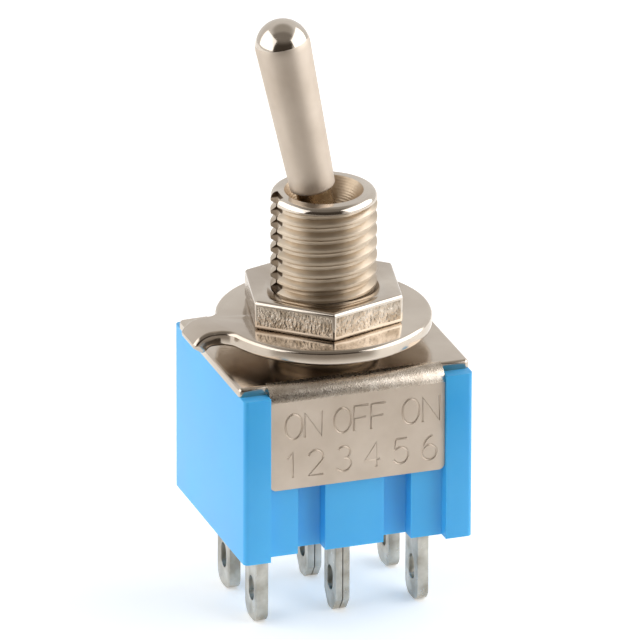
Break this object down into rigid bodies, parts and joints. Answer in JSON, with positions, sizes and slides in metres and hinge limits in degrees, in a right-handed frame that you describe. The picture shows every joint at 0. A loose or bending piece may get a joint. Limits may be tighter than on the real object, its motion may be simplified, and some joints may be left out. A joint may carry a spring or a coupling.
{
  "type": "panel toggle switch",
  "caption": "Miniature panel toggle switch with a bat lever, threaded bushing, nut, tabbed lock washer, moulded case and solder lugs.",
  "frame": {"origin": "the bushing's axis at the top of the cover plate, the face that lies against a panel", "axes": "+Z out of the panel along the bushing, +X the way the lever is thrown, -Y the stamped front"},
  "size_m": [0.0146, 0.0122, 0.0343],
  "materials": {
    "case_plastic": "moulded diallyl phthalate, blue, semi-gloss",
    "nickel_plate": "nickel plate, bright, warm grey",
    "satin_nickel": "nickel plate, satin on the bat, bright on the tip",
    "silver_lug": "silver plate, dull, slightly tarnished",
    "silver": "silver plate, bright",
    "nylon": "moulded nylon, natural",
    "nylon_plunger": "moulded nylon, black",
    "spring_steel": "music wire, bright"
  },
  "bodies": {
    "switch": {"case": "case_plastic", "cover_frame": "nickel_plate", "bushing": "nickel_plate", "hex_nut": "nickel_plate", "lock_washer": "nickel_plate", "front_left_lug": "silver_lug", "front_right_lug": "silver_lug", "rear_left_lug": "silver_lug", "rear_right_lug": "silver_lug", "front_common_lug": "silver_lug", "rear_common_lug": "silver_lug", "front_left_contact": "silver", "front_right_contact": "silver", "rear_left_contact": "silver", "rear_right_contact": "silver"},
    "lever": {"lever": "satin_nickel", "plunger_carrier": "nylon", "front_plunger_spring": "spring_steel", "rear_plunger_spring": "spring_steel"},
    "front_plunger": {"front_plunger": "nylon_plunger"},
    "front_rocker": {"front_rocker": "silver"},
    "rear_plunger": {"rear_plunger": "nylon_plunger"},
    "rear_rocker": {"rear_rocker": "silver"}
  },
  "joints": [
    {"name": "lever_tilt", "type": "hinge", "parent": "switch", "child": "lever", "pos_m": [0, 0, 0.00605], "axis": [0, 1, 0], "range_deg": [0, 23.2]},
    {"name": "front_rocker_tilt", "type": "hinge", "parent": "switch", "child": "front_rocker", "pos_m": [0, -0.0024, -0.00735], "axis": [0, 1, 0], "range_deg": [-16.01, 0]},
    {"name": "rear_rocker_tilt", "type": "hinge", "parent": "switch", "child": "rear_rocker", "pos_m": [0, 0.0024, -0.00735], "axis": [0, 1, 0], "range_deg": [-16.01, 0]},
    {"name": "front_plunger_slide", "type": "slide", "parent": "lever", "child": "front_plunger", "axis": [-0.2011, 0, 0.9796], "range_m": [0, 0.0005], "stiffness_N_per_m": 50, "springref_m": -0.0005, "deforming": ["front_plunger_spring"]},
    {"name": "rear_plunger_slide", "type": "slide", "parent": "lever", "child": "rear_plunger", "axis": [-0.2011, 0, 0.9796], "range_m": [0, 0.0005], "stiffness_N_per_m": 50, "springref_m": -0.0005, "deforming": ["rear_plunger_spring"]}
  ],
  "couplings": [
    {"joint": "front_rocker_tilt", "follows": "lever_tilt", "ratio": -0.6896},
    {"joint": "rear_rocker_tilt", "follows": "lever_tilt", "ratio": -0.6896}
  ]
}
